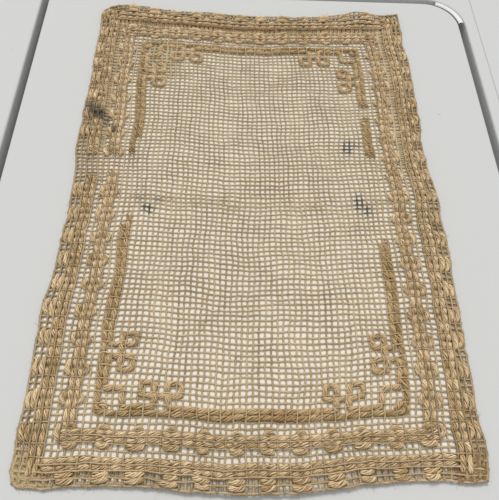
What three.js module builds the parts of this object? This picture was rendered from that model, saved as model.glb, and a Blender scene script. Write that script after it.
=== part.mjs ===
import * as THREE from "three";

// A table mat of open net, worked round its border with thick yarn.
// Every place on it is counted in holes of the net: u runs across from the
// left edge and v runs along from the front edge. The origin is under the
// middle of the mat, with +X to the right and +Y towards the back.

// Driving dimensions, in millimetres unless a name says holes
const PITCH = 25.4 / 6;
const HOLES_ACROSS = 70;
const HOLES_ALONG = 105;
const NET_THICK = 1.4;
const HEM_THICK = 2.4;
const YARN_HIGH = 2.0;
const YARN_EDGE_HIGH = 1.3;
const BAR_HIGH = 1.7;
const BAR_EDGE_HIGH = 1.2;
const CLEARANCE = 0.3;

// Border rows, in holes in from the edge
const HEM_HOLES = 4;
const HEM_STEP = 0.2;
const OUTER_BAND = { knobs: 0.15, from: 2.05, to: 3.96 };
const MIDDLE_BAND = { knobs: 5.15, from: 6.05, to: 7.95, innerKnobs: 8.85 };
const MIDDLE_START = 5.5;
const BAR_START = 10;
const KNOB_FIRST = 7.5;
const KNOB_EVERY = 5;
const KNOB_HALF = 1.15;

// How far a piece of yarn stays inside its holes, and how its sides slope
const SIDE_GAP = 0.04;
const SIDE_SLOPE = 0.16;
const CORNER_PULL = 0.25;

// Spacing of the grid lines under the yarn, in holes
const BAR_LINE_STEP = 3;
const FOLD_LINE_CLEAR = 1.2;
const END_LINE_CLEAR = 0.3;
const LINE_CLEAR = 0.12;

// How far the mat's own corners are worn round, in holes
const WORN_CORNERS = { frontLeft: 0.3, frontRight: 0.15, backLeft: 0.8, backRight: 0.1 };

// Where the yarn is missing on the long sides, in holes from the front
const OUTER_LEFT_GAP = { from: 56.5, to: 61.6 };
const MIDDLE_LEFT_GAP = { from: 57.6, to: 61.4 };
const BAR_LEFT_GAP = { from: 47.4, to: 62 };
const BAR_RIGHT_GAPS = { front: 42.6, middleFrom: 62.6, middleTo: 73, back: 76.4 };

// Sideways wander of four lengthwise threads, in holes, + to the right
const SIDEWAYS = [
  { at: 0, left: -0.9, leftBar: 0, rightBar: -0.1, right: 0.1 },
  { at: 4, left: -0.85, leftBar: 0, rightBar: -0.1, right: 0.6 },
  { at: 12, left: -0.75, leftBar: 0, rightBar: 0.1, right: 0.6 },
  { at: 25, left: -0.5, leftBar: 0.05, rightBar: 0.8, right: 1.0 },
  { at: 36, left: 0.1, leftBar: 0.4, rightBar: 0.65, right: 1.15 },
  { at: 47, left: 0.55, leftBar: 0.6, rightBar: 0.4, right: 1.15 },
  { at: 56, left: 0.6, leftBar: 0.55, rightBar: 0.3, right: 1.1 },
  { at: 59.5, left: 0.45, leftBar: 0.5, rightBar: 0.25, right: 0.45 },
  { at: 66, left: 0, leftBar: 0.4, rightBar: 0.15, right: 0.5 },
  { at: 80, left: -0.05, leftBar: 0.1, rightBar: -0.1, right: 1.05 },
  { at: 90, left: 0, leftBar: 0, rightBar: -0.3, right: 1.15 },
  { at: 97, left: 0, leftBar: -0.1, rightBar: -0.4, right: 0.7 },
  { at: 101, left: 0, leftBar: -0.1, rightBar: -0.4, right: 0.1 },
  { at: 105, left: 0.1, leftBar: -0.1, rightBar: -0.4, right: -0.2 },
];

// Lengthwise wander of five crossways threads, in holes, + to the back
const LENGTHWISE = [
  { at: 0, front: -0.2, frontBar: 0.2, backBar: 0.3, hem: 0.8, back: 0.2 },
  { at: 5, front: -0.5, frontBar: 0.2, backBar: 0.2, hem: 1.0, back: 0.6 },
  { at: 10, front: -0.4, frontBar: 0.15, backBar: 0.1, hem: 0.7, back: 0.4 },
  { at: 20, front: -0.45, frontBar: -0.25, backBar: -0.3, hem: 0, back: -0.3 },
  { at: 27.5, front: -0.9, frontBar: -0.7, backBar: -0.8, hem: -0.6, back: -0.6 },
  { at: 35, front: -1.15, frontBar: -0.95, backBar: -1.2, hem: -0.9, back: -1.1 },
  { at: 42.5, front: -0.85, frontBar: -0.85, backBar: -0.95, hem: -0.7, back: -0.8 },
  { at: 50, front: -0.15, frontBar: -0.4, backBar: -0.6, hem: -0.3, back: -0.5 },
  { at: 57, front: 0.45, frontBar: 0.1, backBar: -0.3, hem: 0, back: 0 },
  { at: 61, front: 0.6, frontBar: 0.3, backBar: -0.15, hem: 0.3, back: 0.9 },
  { at: 65, front: 0.75, frontBar: 0.35, backBar: 0, hem: 0.5, back: 0.3 },
  { at: 70, front: 0.85, frontBar: 0.4, backBar: 0, hem: 0.5, back: 0.5 },
];

// How high the two short edges curl off the table, in millimetres
const CURL = [
  { at: 0, front: 0, back: 3.4 },
  { at: 5, front: 0.5, back: 5.6 },
  { at: 12.5, front: 1.0, back: 4.6 },
  { at: 22.5, front: 1.6, back: 4.0 },
  { at: 35, front: 2.2, back: 3.2 },
  { at: 47.5, front: 1.8, back: 3.6 },
  { at: 57.5, front: 0.9, back: 4.8 },
  { at: 62, front: 0.7, back: 6.0 },
  { at: 66, front: 0.8, back: 4.2 },
  { at: 70, front: 1.6, back: 5.0 },
];
const BACK_CURL_HOLES = 5;
const FRONT_CURL_HOLES = 4;

// The old fold across the middle and the faint one along it
const CROSS_FOLD = { at: 51, half: 2, high: 1.5 };
const LONG_FOLD = { at: 35, half: 1.5, high: 0.5 };

// Holes that the dark yarn fills in each corner, counted from the frame's corner
const CORNER_HOLES = 14;
const SECOND_ROW = { from: 4, gap: 10, resume: 11 };
const FRET = [
  { column: 1, row: 4 },
  { column: 2, row: 4 },
  { column: 3, row: 4 },
  { column: 4, row: 4 },
  { column: 4, row: 3 },
  { column: 4, row: 2 },
];
const CURLS = [
  { column: 7, stem: 9 },
  { column: 11, stem: 11 },
];
const CURL_ROW = 3;
const CURL_HOLES = 3;
const STEM_ROW = 2;
const CURL_LINK = { column: 10, row: 3 };

const YARN_COLOUR = 0xc6a877;
const BAR_COLOUR = 0xa27c4c;
const NET_COLOUR = 0xb6a079;

// A smooth curve through one named column of a table
function readTable(table, column, at) {
  const last = table.length - 1;
  const place = Math.min(Math.max(at, table[0].at), table[last].at);
  let step = 0;
  while (step < last - 1 && place > table[step + 1].at) {
    step += 1;
  }
  const slopeAt = (index) => {
    const before = table[Math.max(index - 1, 0)];
    const after = table[Math.min(index + 1, last)];
    return (after[column] - before[column]) / (after.at - before.at);
  };
  const start = table[step];
  const end = table[step + 1];
  const span = end.at - start.at;
  const t = (place - start.at) / span;
  const rise = end[column] - start[column];
  const bend = t * (1 - t);
  const pullStart = slopeAt(step) * span - rise;
  const pullEnd = rise - slopeAt(step + 1) * span;
  return start[column] + rise * t + bend * (pullStart * (1 - t) + pullEnd * t);
}

// Straight lines between the values that belong to a row of places
function between(at, places, values) {
  let step = 0;
  while (step < places.length - 2 && at > places[step + 1]) {
    step += 1;
  }
  const t = (at - places[step]) / (places[step + 1] - places[step]);
  return values[step] + (values[step + 1] - values[step]) * t;
}

const barRight = HOLES_ACROSS - BAR_START;
const barBack = HOLES_ALONG - BAR_START;
const hemBack = HOLES_ALONG - HEM_HOLES;

// Where a place on the net lies, in millimetres from the middle of the net
function place(u, v) {
  const side = ["left", "leftBar", "rightBar", "right"].map((name) => readTable(SIDEWAYS, name, v));
  const row = ["front", "frontBar", "backBar", "hem", "back"].map((name) => readTable(LENGTHWISE, name, u));
  const sideways = between(u, [0, BAR_START, barRight, HOLES_ACROSS], side);
  const lengthwise = between(v, [0, BAR_START, barBack, hemBack, HOLES_ALONG], row);
  return {
    x: (u - HOLES_ACROSS / 2 + sideways) * PITCH,
    y: (v - HOLES_ALONG / 2 + lengthwise) * PITCH,
  };
}

function ridge(at, fold) {
  return fold.high * Math.max(0, 1 - Math.abs(at - fold.at) / fold.half);
}

// Height of the net's underside over the table
function underside(u, v) {
  const back = Math.max(0, (v - HOLES_ALONG + BACK_CURL_HOLES) / BACK_CURL_HOLES);
  const front = Math.max(0, (FRONT_CURL_HOLES - v) / FRONT_CURL_HOLES);
  const curl = readTable(CURL, "back", u) * back + readTable(CURL, "front", u) * front;
  return curl + Math.max(ridge(v, CROSS_FOLD), ridge(u, LONG_FOLD));
}

function sheetThickness(u, v) {
  const inFromEdge = Math.min(u, v, HOLES_ACROSS - u, HOLES_ALONG - v);
  return inFromEdge <= HEM_HOLES + SIDE_GAP ? HEM_THICK : NET_THICK;
}

// Grid lines of the sheet, closer at the hem, the curls and the folds
function sheetLines(holes, fold) {
  const ends = [0, OUTER_BAND.from, HEM_HOLES, HEM_HOLES + HEM_STEP, BACK_CURL_HOLES];
  const lines = [...ends, ...ends.map((end) => holes - end)];
  for (let at = KNOB_FIRST; at < holes; at += KNOB_EVERY) {
    if (Math.abs(at - fold.at) > fold.half + 1) {
      lines.push(at);
    }
  }
  lines.push(fold.at - fold.half, fold.at - fold.half / 2, fold.at);
  lines.push(fold.at + fold.half / 2, fold.at + fold.half);
  return lines.sort((a, b) => a - b);
}

const acrossLines = sheetLines(HOLES_ACROSS, LONG_FOLD);
const alongLines = sheetLines(HOLES_ALONG, CROSS_FOLD);

function lineBefore(lines, at) {
  let step = 0;
  while (step < lines.length - 2 && at >= lines[step + 1]) {
    step += 1;
  }
  return step;
}

// Height of the sheet's top face at a place, on its own flat triangles
function sheetTop(u, v) {
  const i = lineBefore(acrossLines, u);
  const j = lineBefore(alongLines, v);
  const topAt = (a, b) => {
    const cornerU = acrossLines[a];
    const cornerV = alongLines[b];
    return underside(cornerU, cornerV) + sheetThickness(cornerU, cornerV);
  };
  const s = (u - acrossLines[i]) / (acrossLines[i + 1] - acrossLines[i]);
  const t = (v - alongLines[j]) / (alongLines[j + 1] - alongLines[j]);
  const low = topAt(i, j);
  const high = topAt(i + 1, j + 1);
  if (s >= t) {
    const right = topAt(i + 1, j);
    return low + (right - low) * s + (high - right) * t;
  }
  const far = topAt(i, j + 1);
  return low + (far - low) * t + (high - far) * s;
}

// A closed solid over the filled cells of a grid of lines. shape gives the
// lower and upper point over each grid crossing from its neighbours.
function gridSolid(name, uLines, vLines, filled, shape, colour) {
  const points = [];
  const faces = [];
  const known = new Map();
  const isFilled = (i, j) => {
    const inside = i >= 0 && j >= 0 && i < uLines.length - 1 && j < vLines.length - 1;
    return inside && filled((uLines[i] + uLines[i + 1]) / 2, (vLines[j] + vLines[j + 1]) / 2);
  };
  const pointAt = (i, j, upper) => {
    const key = `${i} ${j} ${upper}`;
    if (!known.has(key)) {
      const around = [isFilled(i - 1, j - 1), isFilled(i, j - 1), isFilled(i - 1, j), isFilled(i, j)];
      known.set(key, points.length / 3);
      points.push(...shape(uLines[i], vLines[j], upper, around));
    }
    return known.get(key);
  };
  const quad = (a, b, c, d) => {
    faces.push(a, b, c, a, c, d);
  };
  const wall = (i0, j0, i1, j1) => {
    quad(pointAt(i0, j0, false), pointAt(i1, j1, false), pointAt(i1, j1, true), pointAt(i0, j0, true));
  };
  for (let i = 0; i < uLines.length - 1; i += 1) {
    for (let j = 0; j < vLines.length - 1; j += 1) {
      if (!isFilled(i, j)) {
        continue;
      }
      const ring = (upper) => [
        pointAt(i, j, upper),
        pointAt(i + 1, j, upper),
        pointAt(i + 1, j + 1, upper),
        pointAt(i, j + 1, upper),
      ];
      const top = ring(true);
      const bottom = ring(false);
      quad(top[0], top[1], top[2], top[3]);
      faces.push(bottom[0], bottom[2], bottom[1], bottom[0], bottom[3], bottom[2]);
      if (!isFilled(i, j - 1)) {
        wall(i, j, i + 1, j);
      }
      if (!isFilled(i + 1, j)) {
        wall(i + 1, j, i + 1, j + 1);
      }
      if (!isFilled(i, j + 1)) {
        wall(i + 1, j + 1, i, j + 1);
      }
      if (!isFilled(i - 1, j)) {
        wall(i, j + 1, i, j);
      }
    }
  }
  const geometry = new THREE.BufferGeometry();
  geometry.setAttribute("position", new THREE.Float32BufferAttribute(points, 3));
  geometry.setIndex(faces);
  geometry.computeVertexNormals();
  const material = new THREE.MeshStandardMaterial({ color: colour, roughness: 0.9, metalness: 0 });
  const mesh = new THREE.Mesh(geometry, material);
  mesh.name = name;
  return mesh;
}

// The net with its hem folded under, one cloth with worn corners
function sheetShape(u, v, upper, around) {
  const atCorner = around.filter(Boolean).length === 1;
  const atLeft = u < HOLES_ACROSS / 2;
  const atFront = v < HOLES_ALONG / 2;
  const corner = (atFront ? "front" : "back") + (atLeft ? "Left" : "Right");
  const worn = atCorner ? WORN_CORNERS[corner] : 0;
  const { x, y } = place(u + (atLeft ? worn : -worn), v + (atFront ? worn : -worn));
  const z = underside(u, v) + (upper ? sheetThickness(u, v) : 0);
  return [x, y, z];
}

// Yarn lying on the net: sides sloped, outer corners round, edges lower
function yarnShape(edgeHigh, fullHigh) {
  return (u, v, upper, around) => {
    const [frontLeft, frontRight, backLeft, backRight] = around.map(Number);
    const count = frontLeft + frontRight + backLeft + backRight;
    const towardsRight = Math.sign(frontRight + backRight - frontLeft - backLeft);
    const towardsBack = Math.sign(backLeft + backRight - frontLeft - frontRight);
    const slope = upper ? SIDE_GAP + SIDE_SLOPE : SIDE_GAP;
    const inset = count === 1 ? slope + CORNER_PULL : slope;
    const atU = u + towardsRight * inset;
    const atV = v + towardsBack * inset;
    const { x, y } = place(atU, atV);
    const onTop = sheetTop(atU, atV) + CLEARANCE;
    const high = count === 4 ? fullHigh : edgeHigh;
    return [x, y, onTop + (upper ? high : 0)];
  };
}

const lightYarn = yarnShape(YARN_EDGE_HIGH, YARN_HIGH);
const darkYarn = yarnShape(BAR_EDGE_HIGH, BAR_HIGH);

function inRange(at, from, to) {
  return at > from && at < to;
}

function knobCentres(holes) {
  const centres = [];
  for (let at = KNOB_FIRST; at < holes; at += KNOB_EVERY) {
    centres.push(at);
  }
  return centres;
}

function nearKnob(at, holes) {
  return knobCentres(holes).some((centre) => Math.abs(at - centre) < KNOB_HALF);
}

function tidyLines(lines, from, to) {
  const inner = lines.filter((at) => at > from + END_LINE_CLEAR && at < to - END_LINE_CLEAR);
  const sorted = [from, ...inner, to].sort((a, b) => a - b);
  return sorted.filter((at, index) => index === 0 || at - sorted[index - 1] > LINE_CLEAR);
}

// Lines along a band: both sides and the middle of each knob, and the folds
function bandLines(holes, from, to, folds) {
  const knobs = knobCentres(holes).flatMap((at) => [at - KNOB_HALF, at, at + KNOB_HALF]);
  const clear = knobs.filter((at) => folds.every((fold) => Math.abs(fold - at) > END_LINE_CLEAR));
  return tidyLines([...clear, ...folds], from, to);
}

const crossFoldLines = [-2, -1, 0, 1, 2].map((step) => CROSS_FOLD.at + (step * CROSS_FOLD.half) / 2);
const longFoldLines = [-1, 0, 1].map((step) => LONG_FOLD.at + step * LONG_FOLD.half);

// Rows of a band, counted in from the edge: full rows, and knobs beside them
function bandRows(band) {
  const rows = [band.knobs, band.from, band.to];
  if (band.innerKnobs) {
    rows.push(band.innerKnobs);
  }
  return rows;
}

function inBand(band, depth, nearOne) {
  const inner = band.innerKnobs ?? band.to;
  const full = inRange(depth, band.from, band.to);
  return full || (nearOne && inRange(depth, band.knobs, inner));
}

// A band along the front or the back edge
function crossBand(name, band, atBack, from, to) {
  const rows = bandRows(band);
  const depthOf = (v) => (atBack ? HOLES_ALONG - v : v);
  const vLines = rows.map(depthOf).sort((a, b) => a - b);
  const uLines = bandLines(HOLES_ACROSS, from, to, longFoldLines);
  const filled = (u, v) => inBand(band, depthOf(v), nearKnob(u, HOLES_ACROSS));
  return gridSolid(name, uLines, vLines, filled, lightYarn, YARN_COLOUR);
}

// A band along the left or the right edge
function sideBand(name, band, atRight, from, to) {
  const rows = bandRows(band);
  const depthOf = (u) => (atRight ? HOLES_ACROSS - u : u);
  const uLines = rows.map(depthOf).sort((a, b) => a - b);
  const vLines = bandLines(HOLES_ALONG, from, to, crossFoldLines);
  const filled = (u, v) => inBand(band, depthOf(u), nearKnob(v, HOLES_ALONG));
  return gridSolid(name, uLines, vLines, filled, lightYarn, YARN_COLOUR);
}

function outerBand() {
  const acrossEnd = HOLES_ACROSS - HEM_HOLES;
  const from = OUTER_BAND.knobs;
  const to = HOLES_ALONG - OUTER_BAND.knobs;
  return [
    crossBand("outer_band_front", OUTER_BAND, false, HEM_HOLES, acrossEnd),
    crossBand("outer_band_back", OUTER_BAND, true, HEM_HOLES, acrossEnd),
    sideBand("outer_band_left_front", OUTER_BAND, false, from, OUTER_LEFT_GAP.from),
    sideBand("outer_band_left_back", OUTER_BAND, false, OUTER_LEFT_GAP.to, to),
    sideBand("outer_band_right", OUTER_BAND, true, from, to),
  ];
}

function middleBand() {
  const from = MIDDLE_START;
  const acrossEnd = HOLES_ACROSS - from;
  const sideFrom = MIDDLE_BAND.innerKnobs;
  const sideTo = HOLES_ALONG - sideFrom;
  return [
    crossBand("middle_band_front", MIDDLE_BAND, false, from, acrossEnd),
    crossBand("middle_band_back", MIDDLE_BAND, true, from, acrossEnd),
    sideBand("middle_band_left_front", MIDDLE_BAND, false, sideFrom, MIDDLE_LEFT_GAP.from),
    sideBand("middle_band_left_back", MIDDLE_BAND, false, MIDDLE_LEFT_GAP.to, sideTo),
    sideBand("middle_band_right", MIDDLE_BAND, true, sideFrom, sideTo),
  ];
}

// Hole numbers counted from the nearer end of the dark frame
function fromCorner(at, length) {
  return Math.min(at, length - at);
}

// The frame's second row starts past the fret and stops for one hole
function inSecondRow(along) {
  const hole = Math.floor(along);
  const started = hole >= SECOND_ROW.from;
  return started && (hole < SECOND_ROW.gap || hole >= SECOND_ROW.resume);
}

const frameAcross = HOLES_ACROSS - 2 * BAR_START;
const frameAlong = HOLES_ALONG - 2 * BAR_START;

// Lines along a bar: the second row's ends, then every few holes
function barLines(length, from, to, folds) {
  const { from: start, gap, resume } = SECOND_ROW;
  const ends = [1, 2, start, start + 1, start + BAR_LINE_STEP, gap, resume, CORNER_HOLES];
  const lines = [...ends, ...ends.map((at) => length - at)];
  const lastLine = length - CORNER_HOLES - BAR_LINE_STEP + 1;
  for (let at = CORNER_HOLES + BAR_LINE_STEP; at < lastLine; at += BAR_LINE_STEP) {
    if (folds.every((fold) => Math.abs(fold - at) > FOLD_LINE_CLEAR)) {
      lines.push(at);
    }
  }
  return tidyLines([...lines, ...folds], from, to);
}

// A bar along the front or the back, with the small curl in each corner
function crossBar(name, atBack) {
  const toFrame = (v) => (atBack ? HOLES_ALONG - v : v) - BAR_START;
  const uLines = barLines(frameAcross, 0, frameAcross, longFoldLines.map((at) => at - BAR_START));
  const vLines = [0, 1, 2].map((row) => (atBack ? HOLES_ALONG - BAR_START - row : BAR_START + row));
  const filled = (u, v) => {
    const along = fromCorner(u - BAR_START, frameAcross);
    const inFirst = toFrame(v) < 1;
    const inCurl = inRange(along, 1, 2);
    return inFirst || inCurl || inSecondRow(along);
  };
  const placed = uLines.map((at) => at + BAR_START);
  return gridSolid(name, placed, vLines.sort((a, b) => a - b), filled, darkYarn, BAR_COLOUR);
}

// A length of bar along the left or the right
function sideBar(name, atRight, from, to) {
  const toFrame = (u) => (atRight ? HOLES_ACROSS - u : u) - BAR_START;
  const folds = crossFoldLines.map((at) => at - BAR_START);
  const vLines = barLines(frameAlong, from - BAR_START, to - BAR_START, folds);
  const uLines = [0, 1, 2].map((row) => (atRight ? barRight - row : BAR_START + row));
  const filled = (u, v) => {
    const along = fromCorner(v - BAR_START, frameAlong);
    const pastFret = along > SECOND_ROW.from + 1 && inSecondRow(along);
    return toFrame(u) < 1 || pastFret;
  };
  const placed = vLines.map((at) => at + BAR_START);
  return gridSolid(name, uLines.sort((a, b) => a - b), placed, filled, darkYarn, BAR_COLOUR);
}

function bars() {
  const from = BAR_START + 1;
  const to = HOLES_ALONG - from;
  return [
    crossBar("bar_front", false),
    crossBar("bar_back", true),
    sideBar("bar_left_front", false, from, BAR_LEFT_GAP.from),
    sideBar("bar_left_back", false, BAR_LEFT_GAP.to, to),
    sideBar("bar_right_front", true, from, BAR_RIGHT_GAPS.front),
    sideBar("bar_right_middle", true, BAR_RIGHT_GAPS.middleFrom, BAR_RIGHT_GAPS.middleTo),
    sideBar("bar_right_back", true, BAR_RIGHT_GAPS.back, to),
  ];
}

// Holes filled by a pair of curls that stand on the bar by their stems
function curlPairHoles() {
  const holes = [CURL_LINK];
  CURLS.forEach((curl) => {
    holes.push({ column: curl.stem, row: STEM_ROW });
    for (let column = 0; column < CURL_HOLES; column += 1) {
      for (let row = 0; row < CURL_HOLES; row += 1) {
        if (column !== 1 || row !== 1) {
          holes.push({ column: curl.column + column, row: CURL_ROW + row });
        }
      }
    }
  });
  return holes;
}

// A motif of filled holes, set in one of the four corners. A turned motif
// swaps its columns and rows, so that it stands on the side bar.
function cornerMotif(name, holes, corner, turned) {
  const filledHoles = holes.map(({ column, row }) => (turned ? { column: row, row: column } : { column, row }));
  const toColumn = (u) => Math.floor((corner.right ? HOLES_ACROSS - u : u) - BAR_START);
  const toRow = (v) => Math.floor((corner.back ? HOLES_ALONG - v : v) - BAR_START);
  const steps = Array.from({ length: CORNER_HOLES + 1 }, (_, step) => BAR_START + step);
  const uLines = steps.map((at) => (corner.right ? HOLES_ACROSS - at : at)).sort((a, b) => a - b);
  const vLines = steps.map((at) => (corner.back ? HOLES_ALONG - at : at)).sort((a, b) => a - b);
  const filled = (u, v) => filledHoles.some((hole) => hole.column === toColumn(u) && hole.row === toRow(v));
  return gridSolid(name, uLines, vLines, filled, darkYarn, BAR_COLOUR);
}

function cornerMotifs() {
  const corners = [
    { name: "front_left", right: false, back: false },
    { name: "front_right", right: true, back: false },
    { name: "back_left", right: false, back: true },
    { name: "back_right", right: true, back: true },
  ];
  return corners.flatMap((corner) => [
    cornerMotif(`fret_${corner.name}`, FRET, corner, false),
    cornerMotif(`curls_cross_${corner.name}`, curlPairHoles(), corner, false),
    cornerMotif(`curls_side_${corner.name}`, curlPairHoles(), corner, true),
  ]);
}

const mat = new THREE.Group();
mat.name = "placemat";
mat.add(gridSolid("net_ground", acrossLines, alongLines, () => true, sheetShape, NET_COLOUR));
mat.add(...outerBand(), ...middleBand(), ...bars(), ...cornerMotifs());

// The uneven outline is centred on the origin
const extent = new THREE.Box3().setFromObject(mat, true);
const middle = extent.getCenter(new THREE.Vector3());
mat.position.set(-middle.x, -middle.y, -extent.min.z);

export default mat;
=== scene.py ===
import math

import bpy
import numpy as np
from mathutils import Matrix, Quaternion, Vector


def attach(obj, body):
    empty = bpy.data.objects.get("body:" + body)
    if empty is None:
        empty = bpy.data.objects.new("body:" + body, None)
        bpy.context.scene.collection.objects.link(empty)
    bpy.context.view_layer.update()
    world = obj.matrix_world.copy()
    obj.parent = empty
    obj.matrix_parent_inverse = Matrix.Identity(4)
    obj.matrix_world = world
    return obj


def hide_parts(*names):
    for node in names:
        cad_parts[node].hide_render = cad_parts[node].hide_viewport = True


# A table mat of open net with thick yarn worked round its border. Places on it
# are counted in holes of the net, across from the left and along from the
# front. Heights and strand sizes are in millimetres; meshes are made in metres.
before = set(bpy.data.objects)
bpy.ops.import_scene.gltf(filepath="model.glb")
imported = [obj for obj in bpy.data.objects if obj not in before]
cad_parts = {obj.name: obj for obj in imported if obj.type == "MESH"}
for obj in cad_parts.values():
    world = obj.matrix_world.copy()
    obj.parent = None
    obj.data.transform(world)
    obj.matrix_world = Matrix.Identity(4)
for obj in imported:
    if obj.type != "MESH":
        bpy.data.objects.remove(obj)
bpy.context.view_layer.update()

MM = 0.001
PITCH = 25.4 / 6
ACROSS = 70
ALONG = 105
# The middle of the finished outline, in millimetres from the counted middle
MIDDLE = np.array([0.6628, -0.8514])
HEM_HOLES = 4
BAR_START = 10
rng = np.random.default_rng(71)

# The net's threads
THREAD_RADIUS = {"along": 0.66, "across": 0.58}
THREAD_SIDES = 5
THREAD_FLAT = 0.6
THREAD_HEIGHT = 0.72
THREAD_WEAVE = 0.2
THREAD_STEP = 0.5
# Painted light: crossways threads are painted lighter and lengthwise ones darker, to even out the shade
# that the light from the back leaves on the crossways threads' front faces
THREAD_PAINTED_LIGHT = {"along": -0.2, "across": 0.4}
TONE_CHANGE_HOLES = 6
CROSSING_SWELL = 0.42
THREAD_UNEVEN = 0.09
ROW_EDGE_RISE = {1: 0.8, 2: 2.2, 3: 2.3, 4: 0.9, 6: 1.2, 7: 2.3, 8: 0.9}
ROW_EDGE_THIN = 0.75
TIE_SPAN = 0.8
TIE_STATIONS = np.array([-0.5, -0.25, 0, 0.25, 0.5])
TIE_TOP = 2.7
TIE_THIN = 0.62
SNUG = {"beside_back_band": 0.75, "between_side_bands": 0.55, "hem": 0.15, "back_left": 1.1}

# The hem's folded layer
HEM_RISE = 0.5
HEM_STEP = 0.6
HEM_RADIUS = 0.85
HEM_SIDES = 4
HEM_FLAT = 0.36
HEM_FILL = {"back": 1.0, "right": 0.8, "left": 0.75, "front": 0.15, "front_left": 0.45}
RAGGED_BACK = (4.35, 4.85, 5.3)
UNDER_HEIGHT = 0.5
CORNER_HEIGHT = 1.3
CORNER_RADIUS = 1.35 * HEM_RADIUS
CORNER_FLAT = 0.4

# The yarn, with lengths along it in holes
PLIES = 5
PLY_SIDES = 4
PLY_FLAT = 0.9
PLY_RADIUS = 0.64
PLY_SPREAD = 1.2
TURN_HOLES = 2.9
YARN_HEIGHT = 2.0
YARN_FLAT = 0.72
YARN_TONE = 0.12
TIE_HALF = 0.36
TIE_DIP = 0.8
DIMPLE_HALF = 0.42
DIMPLE_DIP = 1.7
DIMPLE_PINCH = 0.5
# How a tie pinches the yarn: it spreads less and thins, and its dark and brown are painted shade beside
# the tie
PINCHED = {"spread": 0.44, "thin": 0.14, "dark": 0.5, "brown": 0.35}
# The painted shade in a dimple: how much darker and browner
DENTED = {"dark": 0.2, "brown": 0.2}
FRAYED = {"length": 2.2, "spread": 1.1, "thin": 0.55, "sink": 0.9}
BURIED = {"length": 0.55, "close": 0.5, "thin": 0.4, "sink": 1.3}
PLY_VARIES = {"size": 0.05, "angle": 0.2, "spread": 0.16, "radius": 0.1, "shade": 0.4, "tone": 0.65}
STEP = 0.25

# Loose fibres on the yarn and hairs along the edges
FIBRE_RADIUS = (0.07, 0.13)
FIBRE_SIDES = 3
FIBRE_STEEPEST = 1.35
FUZZ = {"taper": (1, 0.9, 0.7, 0.35), "sag": 0.0, "lowest": 0.3, "tone": (0, 0.9)}
HAIR = {"taper": (1, 1, 0.8, 0.6, 0.3), "sag": 1.8, "lowest": 0.15, "tone": (1.0, 2.0)}
LONGEST_HAIR = {"front": 4.5, "back": 2.8, "left": 2.8, "right": 2.8}

# Where the yarn is missing, in holes from the front
LEFT_OUTER_GAP = (56.5, 61.6)
LEFT_MIDDLE_GAP = (57.6, 61.4)
LEFT_BAR_GAP = (47.4, 62.0)
RIGHT_BAR_ENDS = ((11.3, 42.6), (62.6, 73.0), (76.4, 93.7))
# Corners that are worn round: across, along and by how many holes
WORN_CORNERS = ((0, 0, 0.3), (ACROSS, 0, 0.15), (0, ALONG, 0.8), (ACROSS, ALONG, 0.1))
WORN_HOLES = 2.05

# Sideways wander of four lengthwise threads, in holes, + to the right
SIDEWAYS = {
    "at": (0, 4, 12, 25, 36, 47, 56, 59.5, 66, 80, 90, 97, 101, 105),
    "left": (-0.9, -0.85, -0.75, -0.5, 0.1, 0.55, 0.6, 0.45, 0, -0.05, 0, 0, 0, 0.1),
    "left_bar": (0, 0, 0, 0.05, 0.4, 0.6, 0.55, 0.5, 0.4, 0.1, 0, -0.1, -0.1, -0.1),
    "right_bar": (-0.1, -0.1, 0.1, 0.8, 0.65, 0.4, 0.3, 0.25, 0.15, -0.1, -0.3, -0.4, -0.4, -0.4),
    "right": (0.1, 0.6, 0.6, 1.0, 1.15, 1.15, 1.1, 0.45, 0.5, 1.05, 1.15, 0.7, 0.1, -0.2),
}

# Lengthwise wander of five crossways threads, in holes, + to the back
LENGTHWISE = {
    "at": (0, 5, 10, 20, 27.5, 35, 42.5, 50, 57, 61, 65, 70),
    "front": (-0.2, -0.5, -0.4, -0.45, -0.9, -1.15, -0.85, -0.15, 0.45, 0.6, 0.75, 0.85),
    "front_bar": (0.2, 0.2, 0.15, -0.25, -0.7, -0.95, -0.85, -0.4, 0.1, 0.3, 0.35, 0.4),
    "back_bar": (0.3, 0.2, 0.1, -0.3, -0.8, -1.2, -0.95, -0.6, -0.3, -0.15, 0, 0),
    "hem": (0.8, 1.0, 0.7, 0, -0.6, -0.9, -0.7, -0.3, 0, 0.3, 0.5, 0.5),
    "back": (0.2, 0.6, 0.4, -0.3, -0.6, -1.1, -0.8, -0.5, 0, 0.9, 0.3, 0.5),
}

# How high the two short edges curl off the table, in millimetres
CURL = {
    "at": (0, 5, 12.5, 22.5, 35, 47.5, 57.5, 62, 66, 70),
    "front": (0, 0.5, 1.0, 1.6, 2.2, 1.8, 0.9, 0.7, 0.8, 1.6),
    "back": (3.4, 5.6, 4.6, 4.0, 3.2, 3.6, 4.8, 6.0, 4.2, 5.0),
}
BACK_CURL_HOLES = 5
FRONT_CURL_HOLES = 4
# Two low folds: place and half width in holes, and height
CROSS_FOLD = (51, 2, 0.15)
LONG_FOLD = (35, 1.5, 0.1)
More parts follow.
